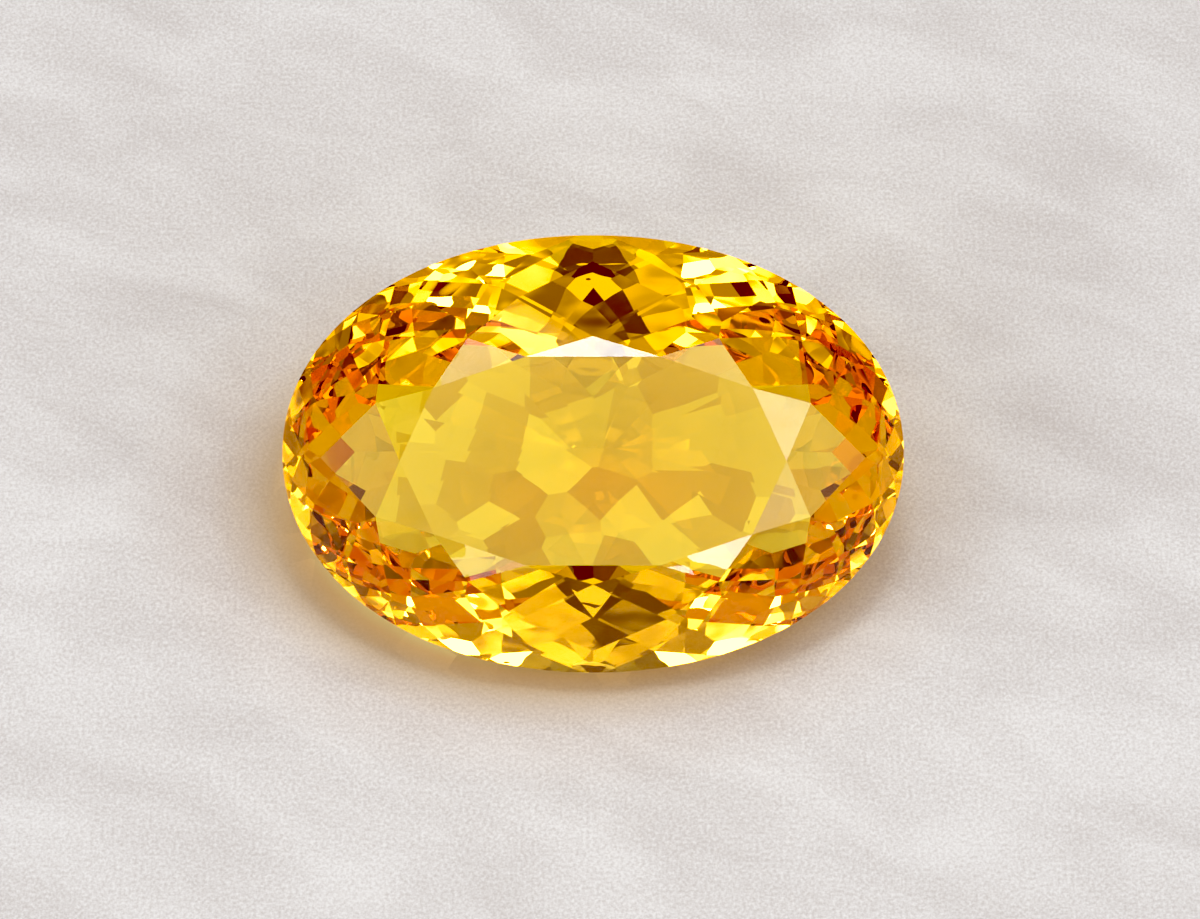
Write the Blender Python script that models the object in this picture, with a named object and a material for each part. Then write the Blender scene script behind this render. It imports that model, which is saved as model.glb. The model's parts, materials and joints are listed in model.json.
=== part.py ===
"""Loose oval-cut citrine gemstone, lying on one of its pavilion facets.

The stone is cut the way a lapidary cuts one: a block of rough is taken, and every facet is one flat
cut across it. A facet is fixed by the direction it faces, its slope from the girdle plane, and one
point it passes through. Most of those points are meet points, where three earlier facets cross.

All work is done in millimetres with the girdle in the plane z = 0, the table up and the long axis
on X. The finished stone is tipped over to rest, and scaled to metres.
"""

import math

import bmesh
import bpy
import numpy as np
from mathutils import Matrix, Vector

# Size of the stone, in millimetres
LENGTH = 20.0
WIDTH = 14.1
TABLE_HEIGHT = 3.08
GIRDLE_BOTTOM = -0.16
OUTLINE_EXPONENT = 2.06
GIRDLE_FACETS = 112

# Corners of the table, and the slopes of the star and kite facets around it
TABLE_CORNERS = {"end": (6.13, 0.0), "shoulder": (5.05, 2.32), "side": (2.12, 3.315)}
STAR_SLOPES = {"end": 17.9, "shoulder": 21.7, "side": 23.0}
KITE_SLOPES = {"end": 31.4, "shoulder": 35.2, "side": 31.7}

# Slopes of the five pavilion rows from the girdle to the keel, in degrees, where they face the
# long sides. Towards the two ends every row is eased, so the keel stays short of the girdle.
PAVILION_SLOPES = (50.0, 43.0, 38.0, 35.0, 32.0)
END_EASE = 0.86
PAVILION_FOLD = 20
FIRST_MEET_INSET = 0.12

# The stone rests on the fourth-row facet that faces straight to the front
REST_ROW = 3

BLOCK_HALF = 15.0
WELD_DISTANCE = 0.012
MILLIMETRE = 0.001


def outline_reach(azimuth):
    """Distance from the middle to the line that touches the outline and faces azimuth (degrees)."""
    dual = OUTLINE_EXPONENT / (OUTLINE_EXPONENT - 1.0)
    turn = math.radians(azimuth)
    along = abs(LENGTH / 2 * math.cos(turn)) ** dual
    across = abs(WIDTH / 2 * math.sin(turn)) ** dual
    return (along + across) ** (1.0 / dual)


def facing(azimuth, slope, side):
    """Outward normal of a facet; side is 1 for the crown and -1 for the pavilion."""
    turn = math.radians(azimuth)
    lean = math.radians(slope)
    flat = math.sin(lean)
    return np.array([math.cos(turn) * flat, math.sin(turn) * flat, side * math.cos(lean)])


def meet(first, second, third):
    """Point where three facets, each a pair of normal and distance, cross."""
    normals = np.array([first[0], second[0], third[0]])
    distances = np.array([first[1], second[1], third[1]])
    return np.linalg.solve(normals, distances)


def through(normal, point):
    """Facet with this normal that passes through the point."""
    return normal, float(normal @ np.array(point))


class Crown:
    """The facets above the girdle, each one copied to all four quarters of the oval."""

    def __init__(self):
        self.facets = {("table", 0.0): (np.array([0.0, 0.0, 1.0]), TABLE_HEIGHT)}

    def surface(self, x, y):
        """Height of the crown so far above a place on the girdle plane."""
        heights = []
        for normal, distance in self.facets.values():
            heights.append((distance - normal[0] * x - normal[1] * y) / normal[2])
        return min(heights)

    def facet(self, row, azimuth):
        """The facet of a row that faces azimuth."""
        return self.facets[(row, round(azimuth % 360.0, 3))]

    def meet(self, *names):
        """Point where three named facets cross."""
        return meet(*[self.facet(row, azimuth) for row, azimuth in names])

    def cut(self, row, azimuth, slope, point):
        """Cut a facet and its mirror copies through a point of the crown so far."""
        if len(point) == 2:
            point = (point[0], point[1], self.surface(point[0], point[1]))
        normal, distance = through(facing(azimuth, slope, 1), point)
        for turned in (azimuth, -azimuth, 180.0 - azimuth, 180.0 + azimuth):
            key = (row, round(turned % 360.0, 3))
            self.facets[key] = (facing(turned, slope, 1), distance)


def cut_crown():
    """Table, stars, kites and the four rows of smaller facets down to the girdle."""
    crown = Crown()
    end, shoulder, side = (TABLE_CORNERS[name] for name in ("end", "shoulder", "side"))
    crown.cut("star", 24.96, STAR_SLOPES["end"], end)
    crown.cut("star", 71.24, STAR_SLOPES["shoulder"], shoulder)
    crown.cut("star", 90.0, STAR_SLOPES["side"], side)
    crown.cut("kite", 0.0, KITE_SLOPES["end"], end)
    crown.cut("kite", 54.2, KITE_SLOPES["shoulder"], shoulder)
    crown.cut("kite", 84.7, KITE_SLOPES["side"], side)

    # The middle row starts from the points of the stars
    star_end = crown.meet(("kite", 0.0), ("star", 24.96), ("kite", 54.2))
    star_shoulder = crown.meet(("kite", 54.2), ("star", 71.24), ("kite", 84.7))
    star_side = crown.meet(("kite", 84.7), ("star", 90.0), ("kite", 95.3))
    crown.cut("middle", 14.0, 40.0, star_end)
    crown.cut("middle", 43.0, 41.5, star_end)
    crown.cut("middle", 60.0, 39.5, star_shoulder)
    crown.cut("middle", 77.3, 38.0, star_shoulder)
    crown.cut("middle", 90.0, 36.0, star_side)

    # The outer row starts from the lower points of the kites, and between them
    kite_end = crown.meet(("kite", 0.0), ("middle", 14.0), ("middle", -14.0))
    kite_shoulder = crown.meet(("kite", 54.2), ("middle", 43.0), ("middle", 60.0))
    kite_side = crown.meet(("kite", 84.7), ("middle", 77.3), ("middle", 90.0))
    crown.cut("outer", 0.0, 43.0, kite_end)
    crown.cut("outer", 28.0, 44.5, (7.55, 2.10))
    crown.cut("outer", 53.0, 43.5, kite_shoulder)
    crown.cut("outer", 69.0, 43.0, (4.45, 4.55))
    crown.cut("outer", 84.2, 43.0, kite_side)

    # Two rows of narrow facets break up the edge of the crown at the girdle
    rim_row(crown, "rim", (9.0, 27.0, 45.0, 63.0, 81.0), 47.5, 0.8)
    rim_row(crown, "edge", (0.0, 18.0, 36.0, 54.0, 72.0, 90.0), 52.0, 0.42)
    return list(crown.facets.values())


def rim_row(crown, row, azimuths, slope, inset):
    """A row of crown facets whose upper ends lie at one inset from the outline."""
    for azimuth in azimuths:
        turn = math.radians(azimuth)
        reach = outline_reach(azimuth)
        x = (LENGTH / 2) ** 2 * math.cos(turn) / reach - inset * math.cos(turn)
        y = (WIDTH / 2) ** 2 * math.sin(turn) / reach - inset * math.sin(turn)
        crown.cut(row, azimuth, slope, (x, y))


def pavilion_slope(azimuth, side_slope):
    """Slope of a pavilion row at azimuth, given its slope on the long sides (degrees)."""
    share = math.cos(math.radians(azimuth)) ** 2
    ease = 1.0 - (1.0 - END_EASE) * share
    return math.degrees(math.atan(math.tan(math.radians(side_slope)) * ease))


def cut_pavilion():
    """Five staggered rows, each starting from the points where the two rows above it meet."""
    count = 2 * PAVILION_FOLD
    rows = []
    for index, slope in enumerate(PAVILION_SLOPES):
        row = {}
        for step in range((index + 1) % 2, count, 2):
            azimuth = step * 360.0 / count
            normal = facing(azimuth, pavilion_slope(azimuth, slope), -1)
            if index == 0:
                reach = outline_reach(azimuth) * math.hypot(normal[0], normal[1])
                row[step] = (normal, reach + GIRDLE_BOTTOM * normal[2])
                continue
            before = rows[-1][(step - 1) % count]
            after = rows[-1][(step + 1) % count]
            if index == 1:
                across = facing(azimuth, 90.0, -1)
                above = (across, outline_reach(azimuth) - FIRST_MEET_INSET)
            else:
                above = rows[-2][step]
            row[step] = through(normal, meet(before, after, above))
        rows.append(row)
    return rows


def cut_girdle():
    """Narrow upright facets that follow the oval closely enough to look round."""
    corners = []
    power = 2.0 / OUTLINE_EXPONENT
    for index in range(GIRDLE_FACETS):
        turn = 2 * math.pi * (index + 0.5) / GIRDLE_FACETS
        x = math.copysign(abs(math.cos(turn)) ** power, math.cos(turn)) * LENGTH / 2
        y = math.copysign(abs(math.sin(turn)) ** power, math.sin(turn)) * WIDTH / 2
        corners.append((x, y))
    facets = []
    for index, (x, y) in enumerate(corners):
        next_x, next_y = corners[(index + 1) % GIRDLE_FACETS]
        normal = np.array([next_y - y, x - next_x, 0.0])
        normal /= np.linalg.norm(normal)
        facets.append(through(normal, (x, y, 0.0)))
    return facets


def cut_stone(facets):
    """Take a block and make every cut, closing the stone after each one."""
    stone = bmesh.new()
    bmesh.ops.create_cube(stone, size=2 * BLOCK_HALF)
    for normal, distance in facets:
        everything = stone.verts[:] + stone.edges[:] + stone.faces[:]
        cut = bmesh.ops.bisect_plane(
            stone,
            geom=everything,
            dist=1e-5,
            plane_co=Vector(normal * distance),
            plane_no=Vector(normal),
            clear_outer=True,
        )
        rim = [item for item in cut["geom_cut"] if isinstance(item, bmesh.types.BMEdge)]
        open_rim = [edge for edge in rim if edge.is_boundary]
        if len(open_rim) > 2:
            bmesh.ops.contextual_create(stone, geom=open_rim)
    bmesh.ops.remove_doubles(stone, verts=stone.verts[:], dist=WELD_DISTANCE)
    bmesh.ops.dissolve_degenerate(stone, edges=stone.edges[:], dist=WELD_DISTANCE / 2)
    bmesh.ops.recalc_face_normals(stone, faces=stone.faces[:])
    return stone


def lay_down(stone, rest_slope):
    """Tip the stone onto its resting facet and put the middle of its footprint at the origin."""
    stone.transform(Matrix.Rotation(math.radians(rest_slope), 4, "X"))
    stone.transform(Matrix.Scale(MILLIMETRE, 4))
    places = np.array([corner.co[:] for corner in stone.verts])
    low, high = places.min(axis=0), places.max(axis=0)
    middle = (low + high) / 2
    stone.transform(Matrix.Translation((-middle[0], -middle[1], -low[2])))


def citrine_material():
    """Clear golden quartz."""
    material = bpy.data.materials.new("citrine")
    material.use_nodes = True
    shader = material.node_tree.nodes["Principled BSDF"]
    shader.inputs["Base Color"].default_value = (0.92, 0.56, 0.03, 1.0)
    shader.inputs["Roughness"].default_value = 0.02
    shader.inputs["IOR"].default_value = 1.55
    shader.inputs["Transmission Weight"].default_value = 1.0
    return material


def clear_scene():
    """Remove everything the start-up scene holds."""
    for thing in list(bpy.data.objects):
        bpy.data.objects.remove(thing, do_unlink=True)


def main():
    """Cut the stone, lay it down and put it in the scene."""
    clear_scene()
    pavilion = cut_pavilion()
    facets = cut_girdle() + cut_crown()
    for row in pavilion:
        facets.extend(row.values())
    stone = cut_stone(facets)
    lay_down(stone, PAVILION_SLOPES[REST_ROW])
    mesh = bpy.data.meshes.new("citrine")
    stone.to_mesh(mesh)
    stone.free()
    mesh.materials.append(citrine_material())
    bpy.context.scene.collection.objects.link(bpy.data.objects.new("citrine", mesh))


main()
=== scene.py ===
"""Dresses the loose oval-cut citrine and puts it on a pale sheet under soft studio light."""

import json
import logging
import math
from dataclasses import dataclass
from enum import Enum
from typing import Any, Optional

import bpy
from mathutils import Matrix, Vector

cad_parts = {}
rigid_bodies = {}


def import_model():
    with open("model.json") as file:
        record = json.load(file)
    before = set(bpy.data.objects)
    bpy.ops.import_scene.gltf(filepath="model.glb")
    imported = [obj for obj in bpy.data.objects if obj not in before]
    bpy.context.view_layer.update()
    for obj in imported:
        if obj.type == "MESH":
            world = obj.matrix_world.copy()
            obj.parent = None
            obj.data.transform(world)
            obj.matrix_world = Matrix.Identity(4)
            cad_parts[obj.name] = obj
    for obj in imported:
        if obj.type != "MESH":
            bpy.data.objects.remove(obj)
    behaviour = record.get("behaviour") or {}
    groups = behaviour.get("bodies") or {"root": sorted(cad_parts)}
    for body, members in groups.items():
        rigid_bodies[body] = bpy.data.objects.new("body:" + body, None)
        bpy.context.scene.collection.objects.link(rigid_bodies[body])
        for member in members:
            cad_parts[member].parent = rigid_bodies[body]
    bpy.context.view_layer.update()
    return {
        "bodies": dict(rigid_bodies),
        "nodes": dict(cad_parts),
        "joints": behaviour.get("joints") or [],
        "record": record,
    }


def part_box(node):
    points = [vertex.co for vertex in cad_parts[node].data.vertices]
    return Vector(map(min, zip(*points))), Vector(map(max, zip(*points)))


LOG = logging.getLogger("citrine")

MILLIMETRE = 0.001
WHITE = "#FFFFFF"


class Node(Enum):
    """The kinds of shader and picture node used here."""

    SURFACE = "ShaderNodeBsdfPrincipled"
    ABSORPTION = "ShaderNodeVolumeAbsorption"
    OUTPUT = "ShaderNodeOutputMaterial"
    PLACE = "ShaderNodeTexCoord"
    MAPPING = "ShaderNodeMapping"
    NOISE = "ShaderNodeTexNoise"
    CELLS = "ShaderNodeTexVoronoi"
    RAMP = "ShaderNodeValToRGB"
    RANGE = "ShaderNodeMapRange"
    MATHS = "ShaderNodeMath"
    VECTOR_MATHS = "ShaderNodeVectorMath"
    BUMP = "ShaderNodeBump"
    MIX = "ShaderNodeMix"
    BACKGROUND = "ShaderNodeBackground"
    WORLD_OUTPUT = "ShaderNodeOutputWorld"
    PICTURE = "CompositorNodeRLayers"
    BRIGHTNESS = "CompositorNodeRGBToBW"
    PICTURE_RANGE = "CompositorNodeMapRange"
    PICTURE_MIX = "CompositorNodeMixRGB"
    PICTURE_OUTPUT = "CompositorNodeComposite"


class ColourMix(Enum):
    """The sockets of a colour mix in a material, by number."""

    SHARE = 0
    FIRST = 6
    SECOND = 7
    RESULT = 2


class PictureMix(Enum):
    """The sockets of a colour mix in the picture's tones, by number."""

    SHARE = 0
    FIRST = 1
    SECOND = 2


def linear(code: str) -> tuple[float, float, float, float]:
    """Turn an sRGB hex colour into the linear values that a shader takes.

    Args:
        code: Six hex digits with a leading hash.

    Returns:
        Linear red, green and blue, and full alpha.
    """
    values = []
    for start in (1, 3, 5):
        part = int(code[start : start + 2], 16) / 255.0
        values.append(part / 12.92 if part <= 0.04045 else ((part + 0.055) / 1.055) ** 2.4)
    return values[0], values[1], values[2], 1.0


def add_node(
    tree: bpy.types.NodeTree,
    kind: Node,
    settings: Optional[dict[str, Any]] = None,
    values: Optional[dict[Any, Any]] = None,
    links: Optional[dict[Any, bpy.types.NodeSocket]] = None,
) -> bpy.types.Node:
    """Add one node to a tree.

    Args:
        tree: The tree that gets the node.
        kind: The kind of node.
        settings: Properties of the node itself.
        values: Values of its unlinked inputs, by name or number.
        links: Sockets of other nodes that feed its inputs, by name or number.

    Returns:
        The new node.
    """
    node = tree.nodes.new(kind.value)
    for name, setting in (settings or {}).items():
        setattr(node, name, setting)
    for name, value in (values or {}).items():
        node.inputs[name].default_value = value
    for name, source in (links or {}).items():
        tree.links.new(source, node.inputs[name])
    return node


def empty_material(name: str) -> bpy.types.Material:
    """Make a material that has no nodes yet.

    Args:
        name: Name of the material.

    Returns:
        The material.
    """
    material = bpy.data.materials.new(name)
    material.use_nodes = True
    material.node_tree.nodes.clear()
    return material


@dataclass(frozen=True)
class PolishedCitrine:
    """Citrine, the golden quartz, cut flat and polished to an optical finish.

    The eye sees almost no surface, only sharp reflections on single facets. The colour is in the
    depth: iron takes out blue within a few millimetres and green slowly, so a short way through the
    stone is lemon and a long way is amber. A tint at the surface stands in for part of the depth, so
    that short and long ways stay close in hue. Hand polishing leaves a very slight swell, which
    gives soft gradients inside single facets.
    """

    refractive_index: float = 1.55
    polish_roughness: float = 0.0
    swell_mm: float = 2.5
    swell_detail: float = 1.0
    swell_height_mm: float = 0.024
    body_colour: str = "#FDF0B5"
    let_through: str = "#FFF6BC"
    density: float = 400.0

    def material(self) -> bpy.types.Material:
        """Make the material.

        Returns:
            A clear material with most of its colour in the volume.
        """
        material = empty_material("citrine polished quartz")
        tree = material.node_tree
        swell = add_node(
            tree,
            Node.NOISE,
            values={
                "Scale": 1.0 / (self.swell_mm * MILLIMETRE),
                "Detail": self.swell_detail,
            },
            links={"Vector": add_node(tree, Node.PLACE).outputs["Object"]},
        )
        bump = add_node(
            tree,
            Node.BUMP,
            values={"Distance": self.swell_height_mm * MILLIMETRE},
            links={"Height": swell.outputs["Fac"]},
        )
        surface = add_node(
            tree,
            Node.SURFACE,
            values={
                "Base Color": linear(self.body_colour),
                "Roughness": self.polish_roughness,
                "IOR": self.refractive_index,
                "Transmission Weight": 1.0,
            },
            links={"Normal": bump.outputs["Normal"]},
        )
        depth = add_node(
            tree,
            Node.ABSORPTION,
            values={"Color": linear(self.let_through), "Density": self.density},
        )
        add_node(
            tree,
            Node.OUTPUT,
            links={"Surface": surface.outputs["BSDF"], "Volume": depth.outputs["Volume"]},
        )
        return material


@dataclass(frozen=True)
class CottonPaper:
    """Heavy handmade cotton paper, pressed between felts and left unsized.

    The eye sees a pale warm grey that scatters light evenly, with a fine tooth of short fibres and
    slanting clouds where the pulp settled. Round the stone its colour also holds a painted amber
    shadow, and under the stone it gives off a painted golden pool of light, in place of the shade
    and the light that the stone would throw.
    """

    matt_roughness: float = 0.85
    sheen: float = 0.2

    # The tooth and the drawn-out clouds of pulp, as colour
    tooth_mm: float = 0.11
    tooth_detail: float = 2.0
    tooth_roughness: float = 0.7
    pulp_mm: float = 2.6
    pulp_detail: float = 2.0
    pulp_distortion: float = 0.6
    pulp_share: float = 0.45
    pulp_turn: float = -22.0
    pulp_stretch: float = 2.4
    grain_colours: tuple[tuple[float, str], ...] = ((0.52, "#B9B7B5"), (0.93, "#D7D6D5"))

    # Where the grain fades into one even colour, by distance from the middle of the stone
    even: str = "#C9C7C5"
    smooth_to: float = 0.42
    grained_from: float = 0.56
    grained_to: float = 1.6
    smooth_beyond: float = 2.2

    # The oval of the painted shadow and pool, and the colours painted into the paper by distance
    #     # from its middle: golden under the stone, amber shade round it
    shadow_long_mm: float = 10.2
    shadow_wide_mm: float = 7.6
    shadow_left_mm: float = 0.95
    shadow_back_mm: float = 1.2
    painted_pool_and_shadow_tint: tuple[tuple[float, str], ...] = (
        (0.36, "#FFEAA4"),
        (0.42, "#DBC298"),
        (0.47, "#E4D1B2"),
        (0.52, "#F1E7DA"),
        (0.58, "#FAF6F3"),
        (0.72, WHITE),
    )

    # Painted light that the paper gives off: a pool under the stone and a dim amber glow in its
    #     # shadow, broken into angular patches painted like those that facets throw
    painted_pool_light: float = 0.56
    painted_pool_colours: tuple[tuple[float, str], ...] = (
        (0.0, "#C3EAB3"),
        (0.36, "#C9E09A"),
        (0.44, "#80643C"),
        (0.48, "#000000"),
    )
    patch_mm: float = 1.5
    patch_range: tuple[float, float] = (0.25, 0.75)
    patch_light: tuple[float, float] = (0.52, 1.48)

    def material(self) -> bpy.types.Material:
        """Make the material.

        Returns:
            A matt material whose tooth and pulp are set in millimetres.
        """
        material = empty_material("cotton paper")
        tree = material.node_tree
        place = add_node(tree, Node.PLACE).outputs["Object"]
        away = self.away_from_stone(tree, place)
        # Painted shadow and pool: a ramp by distance from the stone darkens the paper's colour to
        # amber round it and tints it golden under it
        tint = add_node(tree, Node.RAMP, links={"Fac": away})
        self.set_stops(tint, self.painted_pool_and_shadow_tint)
        shadowed = add_node(
            tree,
            Node.VECTOR_MATHS,
            {"operation": "MULTIPLY"},
            links={0: self.grain(tree, place, away), 1: tint.outputs["Color"]},
        )
        # The paper glows with the painted pool of light, and its colour carries the painted shadow
        surface = add_node(
            tree,
            Node.SURFACE,
            values={
                "Roughness": self.matt_roughness,
                "Specular IOR Level": self.sheen,
                "Emission Strength": self.painted_pool_light,
            },
            links={
                "Base Color": shadowed.outputs["Vector"],
                "Emission Color": self.pool(tree, place, away),
            },
        )
        add_node(tree, Node.OUTPUT, links={"Surface": surface.outputs["BSDF"]})
        return material

    def grain(
        self,
        tree: bpy.types.NodeTree,
        place: bpy.types.NodeSocket,
        away: bpy.types.NodeSocket,
    ) -> bpy.types.NodeSocket:
        """Add the paper's own colour, with its tooth and clouds of pulp.

        Args:
            tree: The paper's tree.
            place: Where on the paper the shader looks.
            away: Distance from the middle of the stone's shadow.

        Returns:
            The colour, grained only in the part of the sheet that the picture shows.
        """
        tooth = add_node(
            tree,
            Node.NOISE,
            values={
                "Scale": 1.0 / (self.tooth_mm * MILLIMETRE),
                "Detail": self.tooth_detail,
                "Roughness": self.tooth_roughness,
            },
            links={"Vector": place},
        )
        drawn = add_node(
            tree,
            Node.MAPPING,
            {"vector_type": "TEXTURE"},
            {
                "Rotation": (0.0, 0.0, math.radians(self.pulp_turn)),
                "Scale": (self.pulp_stretch, 1.0, 1.0),
            },
            {"Vector": place},
        )
        pulp = add_node(
            tree,
            Node.NOISE,
            values={
                "Scale": 1.0 / (self.pulp_mm * MILLIMETRE),
                "Detail": self.pulp_detail,
                "Distortion": self.pulp_distortion,
            },
            links={"Vector": drawn.outputs["Vector"]},
        )
        mixed = add_node(
            tree,
            Node.MATHS,
            {"operation": "MULTIPLY_ADD"},
            {1: self.pulp_share},
            {0: pulp.outputs["Fac"], 2: tooth.outputs["Fac"]},
        )
        colour = add_node(tree, Node.RAMP, links={"Fac": mixed.outputs["Value"]})
        self.set_stops(colour, self.grain_colours)
        begun = add_node(
            tree,
            Node.RANGE,
            values={"From Min": self.smooth_to, "From Max": self.grained_from},
            links={"Value": away},
        )
        ended = add_node(
            tree,
            Node.RANGE,
            values={"From Min": self.smooth_beyond, "From Max": self.grained_to},
            links={"Value": away},
        )
        grain_share = add_node(
            tree,
            Node.MATHS,
            {"operation": "MULTIPLY"},
            links={0: begun.outputs["Result"], 1: ended.outputs["Result"]},
        )
        grained = add_node(
            tree,
            Node.MIX,
            {"data_type": "RGBA"},
            {ColourMix.FIRST.value: linear(self.even)},
            {
                ColourMix.SHARE.value: grain_share.outputs["Value"],
                ColourMix.SECOND.value: colour.outputs["Color"],
            },
        )
        return grained.outputs[ColourMix.RESULT.value]

    @staticmethod
    def set_stops(ramp: bpy.types.Node, stops: tuple[tuple[float, str], ...]) -> None:
        """Give a colour ramp its stops.

        Args:
            ramp: The ramp's node.
            stops: Pairs of position and hex colour, in order.
        """
        elements = ramp.color_ramp.elements
        elements.remove(elements[1])
        elements[0].position, elements[0].color = stops[0][0], linear(stops[0][1])
        for position, code in stops[1:]:
            elements.new(position).color = linear(code)

    def away_from_stone(
        self, tree: bpy.types.NodeTree, place: bpy.types.NodeSocket
    ) -> bpy.types.NodeSocket:
        """Measure how far a place is from the middle of the stone's shadow.

        Args:
            tree: The paper's tree.
            place: Where on the paper the shader looks.

        Returns:
            Half the distance, 0.5 being the edge of the shadow's oval.
        """
        centred = add_node(
            tree,
            Node.MAPPING,
            {"vector_type": "TEXTURE"},
            {
                "Location": (
                    -self.shadow_left_mm * MILLIMETRE,
                    self.shadow_back_mm * MILLIMETRE,
                    0.0,
                ),
                "Scale": (
                    2.0 * self.shadow_long_mm * MILLIMETRE,
                    2.0 * self.shadow_wide_mm * MILLIMETRE,
                    1.0,
                ),
            },
            {"Vector": place},
        )
        return add_node(
            tree,
            Node.VECTOR_MATHS,
            {"operation": "LENGTH"},
            links={0: centred.outputs["Vector"]},
        ).outputs["Value"]

    def pool(
        self,
        tree: bpy.types.NodeTree,
        place: bpy.types.NodeSocket,
        away: bpy.types.NodeSocket,
    ) -> bpy.types.NodeSocket:
        """Add the painted pool of light that the paper gives off under the stone.

        Args:
            tree: The paper's tree.
            place: Where on the paper the shader looks.
            away: Distance from the middle of the stone's shadow.

        Returns:
            The painted light that the paper gives off.
        """
        fade = add_node(tree, Node.RAMP, links={"Fac": away})
        self.set_stops(fade, self.painted_pool_colours)
        patches = add_node(
            tree,
            Node.CELLS,
            {"feature": "F1", "voronoi_dimensions": "2D"},
            {"Scale": 1.0 / (self.patch_mm * MILLIMETRE)},
            {"Vector": place},
        )
        bright = add_node(
            tree,
            Node.RANGE,
            values={
                "From Min": self.patch_range[0],
                "From Max": self.patch_range[1],
                "To Min": self.patch_light[0],
                "To Max": self.patch_light[1],
            },
            links={"Value": patches.outputs["Color"]},
        )
        warm = add_node(
            tree,
            Node.VECTOR_MATHS,
            {"operation": "SCALE"},
            links={0: fade.outputs["Color"], "Scale": bright.outputs["Result"]},
        )
        return warm.outputs["Vector"]


@dataclass
class Stone:
    """The cut stone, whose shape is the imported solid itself."""

    node: str = "citrine"
    finish: PolishedCitrine = PolishedCitrine()

    def dress(self, frame: dict[str, Any]) -> bpy.types.Object:
        """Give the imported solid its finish.

        Args:
            frame: What the loader returned.

        Returns:
            The dressed object.
        """
        stone = frame["nodes"][self.node]
        material = self.finish.material()
        for slot in stone.material_slots:
            slot.material = material
        for face in stone.data.polygons:
            face.use_smooth = False
        return stone

    def middle(self) -> Vector:
        """Middle of the stone's box."""
        low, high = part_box(self.node)
        return (Vector(low) + Vector(high)) / 2


@dataclass
class Sheet:
    """The paper that the stone lies on, just clear of its resting facet."""

    side: float = 1.6
    gap_mm: float = 0.01
    finish: CottonPaper = CottonPaper()

    def build(self) -> bpy.types.Object:
        """Lay the sheet.

        Returns:
            The sheet.
        """
        half = self.side / 2
        drop = -self.gap_mm * MILLIMETRE
        corners = [(-half, -half, drop), (half, -half, drop), (half, half, drop), (-half, half, drop)]
        mesh = bpy.data.meshes.new("sheet")
        mesh.from_pydata(corners, [], [(0, 1, 2, 3)])
        mesh.materials.append(self.finish.material())
        sheet = bpy.data.objects.new("sheet", mesh)
        bpy.context.scene.collection.objects.link(sheet)
        return sheet


def around(azimuth: float, elevation: float, distance: float, middle: Vector) -> Vector:
    """Find a place round the stone.

    Args:
        azimuth: Degrees from the front, turning to the stone's right.
        elevation: Degrees above the sheet.
        distance: Metres from the middle.
        middle: The point that the angles are seen from.

    Returns:
        The place in metres.
    """
    turn = math.radians(azimuth)
    rise = math.radians(elevation)
    flat = math.cos(rise)
    way = Vector((flat * math.sin(turn), -flat * math.cos(turn), math.sin(rise)))
    return middle + way * distance


def aim(thing: bpy.types.Object, place: Vector, target: Vector) -> None:
    """Put a camera or lamp at a place and point it at a target.

    Args:
        thing: The camera or lamp.
        place: Where it goes.
        target: What it points at.
    """
    thing.location = place
    thing.rotation_euler = (target - place).to_track_quat("-Z", "Y").to_euler()


@dataclass(frozen=True)
class Softbox:
    """A studio lamp behind a diffuser, hidden from the camera."""

    name: str
    azimuth: float
    elevation: float
    width: float
    height: float
    radiance: float
    distance: float = 0.5
    colour: str = WHITE

    def build(self, middle: Vector) -> bpy.types.Object:
        """Hang the lamp.

        Args:
            middle: The point that the lamp is aimed at.

        Returns:
            The lamp.
        """
        lamp = bpy.data.lights.new(self.name, "AREA")
        lamp.shape = "RECTANGLE"
        lamp.size = self.width
        lamp.size_y = self.height
        lamp.color = linear(self.colour)[:3]
        lamp.energy = self.radiance * math.pi * self.width * self.height
        thing = bpy.data.objects.new(self.name, lamp)
        bpy.context.scene.collection.objects.link(thing)
        thing.visible_camera = False
        aim(thing, around(self.azimuth, self.elevation, self.distance, middle), middle)
        return thing


@dataclass(frozen=True)
class Glow:
    """A soft bright part of the light tent, brightest in one direction."""

    azimuth: float
    elevation: float
    spread: float
    radiance: float

    def add(
        self,
        tree: bpy.types.NodeTree,
        way: bpy.types.NodeSocket,
        before: Optional[bpy.types.NodeSocket],
    ) -> bpy.types.NodeSocket:
        """Add this glow to the light so far.

        Args:
            tree: The world's tree.
            way: Direction that is looked in.
            before: The light so far, if there is any.

        Returns:
            The light with this glow in it.
        """
        centre = around(self.azimuth, self.elevation, 1.0, Vector((0.0, 0.0, 0.0)))
        sharpness = 1.0 / math.radians(self.spread) ** 2
        near = add_node(
            tree, Node.VECTOR_MATHS, {"operation": "DOT_PRODUCT"}, {1: centre}, {0: way}
        )
        falling = add_node(
            tree,
            Node.MATHS,
            {"operation": "MULTIPLY_ADD"},
            {1: sharpness, 2: -sharpness},
            {0: near.outputs["Value"]},
        )
        lobe = add_node(
            tree, Node.MATHS, {"operation": "EXPONENT"}, links={0: falling.outputs["Value"]}
        )
        total = add_node(
            tree,
            Node.MATHS,
            {"operation": "MULTIPLY_ADD"},
            {1: self.radiance, 2: 0.0},
            {0: lobe.outputs["Value"]},
        )
        if before is not None:
            tree.links.new(before, total.inputs[2])
        return total.outputs["Value"]


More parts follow.
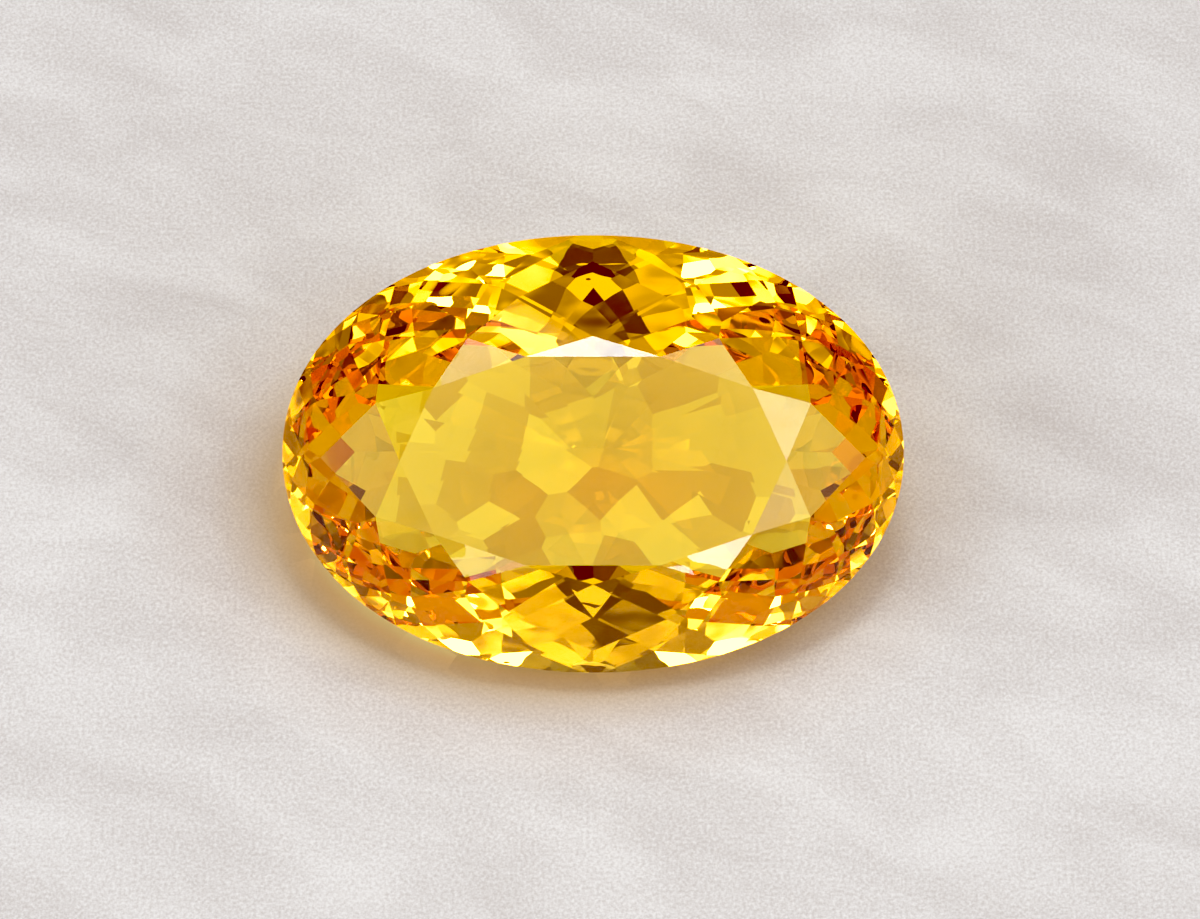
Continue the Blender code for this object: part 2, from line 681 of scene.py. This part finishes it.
@dataclass
class LightTent:
    """A white tent round the stone, lit unevenly from outside.

    The camera looks in through an opening, which leaves the middle of the stone darker.
    """

    dim: float = 0.18

    # The folds of the cloth, brighter and darker
    fold_scale: float = 6.0
    fold_detail: float = 2.0
    fold_roughness: float = 0.55
    fold_range: tuple[float, float] = (0.4, 0.62)
    fold_light: tuple[float, float] = (0.25, 1.9)

    # The opening's azimuth, elevation and spread in degrees, and how much light it lacks
    opening: tuple[float, float, float] = (0.0, 54.0, 18.0)
    opening_depth: float = 0.8
    glows: tuple[Glow, ...] = (
        Glow(-30.0, 12.0, 14.0, 1.6),
        Glow(-60.0, 12.0, 14.0, 1.3),
        Glow(60.0, 12.0, 14.0, 1.0),
        Glow(-30.0, 28.0, 14.0, 0.6),
        Glow(30.0, 28.0, 14.0, 1.3),
        Glow(30.0, 44.0, 14.0, 0.8),
        Glow(-60.0, 44.0, 14.0, 0.8),
        Glow(60.0, 44.0, 14.0, 1.2),
        Glow(-90.0, 44.0, 14.0, 1.1),
        Glow(90.0, 44.0, 14.0, 0.8),
        Glow(-80.0, 60.0, 14.0, 0.8),
        Glow(180.0, 75.0, 14.0, 1.6),
        Glow(-71.0, 20.0, 7.0, 5.0),
        Glow(71.0, 20.0, 7.0, 5.0),
    )

    def build(self) -> bpy.types.World:
        """Make the world's light.

        Returns:
            The world.
        """
        world = bpy.data.worlds.new("light tent")
        world.use_nodes = True
        tree = world.node_tree
        tree.nodes.clear()
        way = add_node(tree, Node.PLACE).outputs["Generated"]
        light = None
        for glow in self.glows:
            light = glow.add(tree, way, light)
        light = add_node(
            tree, Node.MATHS, {"operation": "ADD"}, {1: self.dim}, {0: light}
        ).outputs["Value"]
        folds = add_node(
            tree,
            Node.NOISE,
            values={
                "Scale": self.fold_scale,
                "Detail": self.fold_detail,
                "Roughness": self.fold_roughness,
            },
            links={"Vector": way},
        )
        uneven = add_node(
            tree,
            Node.RANGE,
            {"interpolation_type": "SMOOTHSTEP"},
            {
                "From Min": self.fold_range[0],
                "From Max": self.fold_range[1],
                "To Min": self.fold_light[0],
                "To Max": self.fold_light[1],
            },
            {"Value": folds.outputs["Fac"]},
        )
        shown = add_node(
            tree,
            Node.MATHS,
            {"operation": "MULTIPLY"},
            links={0: light, 1: uneven.outputs["Result"]},
        )
        azimuth, elevation, spread = self.opening
        hole = Glow(azimuth, elevation, spread, -self.opening_depth).add(tree, way, None)
        open_share = add_node(tree, Node.MATHS, {"operation": "ADD"}, {1: 1.0}, {0: hole})
        cut = add_node(
            tree,
            Node.MATHS,
            {"operation": "MULTIPLY"},
            links={0: shown.outputs["Value"], 1: open_share.outputs["Value"]},
        )
        back = add_node(
            tree,
            Node.BACKGROUND,
            values={"Color": linear(WHITE)},
            links={"Strength": cut.outputs["Value"]},
        )
        add_node(tree, Node.WORLD_OUTPUT, links={"Surface": back.outputs["Background"]})
        bpy.context.scene.world = world
        return world


@dataclass
class Studio:
    """A light tent, and the small lamps inside it that give the sharpest highlights."""

    tent: LightTent
    lamps: tuple[Softbox, ...] = (
        Softbox("top lamp", 180.0, 85.0, 0.10, 0.10, 16.0),
        Softbox("table lamp", 0.0, 50.7, 0.10, 0.08, 1.35),
        Softbox("front strip", -3.0, 7.0, 0.20, 0.03, 3.0),
        Softbox("front lamp", 13.0, 9.0, 0.05, 0.03, 11.0),
        Softbox("right lamp", 58.0, 51.0, 0.05, 0.05, 4.0),
        Softbox("left high lamp", -100.0, 77.0, 0.05, 0.05, 2.5),
        Softbox("right high lamp", 100.0, 77.0, 0.05, 0.05, 2.0),
        Softbox("left low lamp", -42.0, 18.0, 0.06, 0.06, 12.0),
        Softbox("right low lamp", 42.0, 18.0, 0.06, 0.06, 12.0),
        Softbox("left side lamp", -64.0, 38.0, 0.06, 0.06, 8.0),
        Softbox("right side lamp", 66.0, 38.0, 0.06, 0.06, 8.0),
    )

    def build(self, middle: Vector) -> None:
        """Hang the lamps and light the tent.

        Args:
            middle: The point that the lamps are aimed at.
        """
        for lamp in self.lamps:
            lamp.build(middle)
            LOG.info("lamp %s at azimuth %.0f", lamp.name, lamp.azimuth)
        LOG.info("lit %s", self.tent.build().name)


@dataclass(frozen=True)
class Camera:
    """A long lens that looks down on the stone from the front."""

    elevation: float = 59.3
    distance: float = 0.18
    frame_width_mm: float = 38.6
    target_mm: tuple[float, float, float] = (0.22, -0.28, 5.0)
    sensor_mm: float = 36.0

    def build(self) -> bpy.types.Object:
        """Set up the camera.

        Returns:
            The camera, in use.
        """
        target = Vector(self.target_mm) * MILLIMETRE
        data = bpy.data.cameras.new("camera")
        data.sensor_width = self.sensor_mm
        data.lens = self.sensor_mm * self.distance / (self.frame_width_mm * MILLIMETRE)
        data.clip_start = MILLIMETRE
        camera = bpy.data.objects.new("camera", data)
        bpy.context.scene.collection.objects.link(camera)
        aim(camera, around(0.0, self.elevation, self.distance, target), target)
        bpy.context.scene.camera = camera
        return camera


@dataclass(frozen=True)
class Exposure:
    """How the camera takes the light: amber darks, and highlights that run out to white."""

    black_level: tuple[float, float, float] = (-0.045, 0.034, 0.045)
    bleach_from: float = 0.95
    bleach_to: float = 3.5
    bleach_share: float = 0.7

    def set(self, scene: bpy.types.Scene) -> None:
        """Set the picture's tones.

        Args:
            scene: The scene to set.
        """
        scene.view_settings.view_transform = "Standard"
        scene.view_settings.use_curve_mapping = True
        scene.view_settings.curve_mapping.black_level = self.black_level
        scene.view_settings.curve_mapping.update()
        scene.use_nodes = True
        tree = scene.node_tree
        tree.nodes.clear()
        picture = add_node(tree, Node.PICTURE).outputs["Image"]
        brightness = add_node(tree, Node.BRIGHTNESS, links={"Image": picture})
        bleach = add_node(
            tree,
            Node.PICTURE_RANGE,
            {"use_clamp": True},
            {
                "From Min": self.bleach_from,
                "From Max": self.bleach_to,
                "To Min": 0.0,
                "To Max": self.bleach_share,
            },
            {"Value": brightness.outputs["Val"]},
        )
        mixed = add_node(
            tree,
            Node.PICTURE_MIX,
            values={PictureMix.SECOND.value: linear(WHITE)},
            links={
                PictureMix.SHARE.value: bleach.outputs["Value"],
                PictureMix.FIRST.value: picture,
            },
        )
        add_node(tree, Node.PICTURE_OUTPUT, links={"Image": mixed.outputs["Image"]})


@dataclass(frozen=True)
class LightPaths:
    """How often light may turn: many times inside the stone, and seldom off the paper."""

    turns_in_stone: int = 16
    mirrored_turns: int = 8
    turns_off_paper: int = 2
    brightest: float = 10.0

    def set(self, scene: bpy.types.Scene) -> None:
        """Set the limits.

        Args:
            scene: The scene to set.
        """
        scene.cycles.max_bounces = self.turns_in_stone
        scene.cycles.transmission_bounces = self.turns_in_stone
        scene.cycles.glossy_bounces = self.mirrored_turns
        scene.cycles.diffuse_bounces = self.turns_off_paper
        scene.cycles.sample_clamp_indirect = self.brightest
        scene.cycles.use_denoising = True
        # With this pattern the denoiser leaves no dots in the darker facets
        scene.cycles.sampling_pattern = "TABULATED_SOBOL"


def main() -> None:
    """Build the scene in order."""
    logging.basicConfig(level=logging.INFO, format="%(message)s")
    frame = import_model()
    stone = Stone()
    LOG.info("dressed %s", stone.dress(frame).name)
    LOG.info("laid %s", Sheet().build().name)
    Studio(LightTent()).build(stone.middle())
    LOG.info("placed %s", Camera().build().name)
    LightPaths().set(bpy.context.scene)
    Exposure().set(bpy.context.scene)


if __name__ == "__main__":
    main()
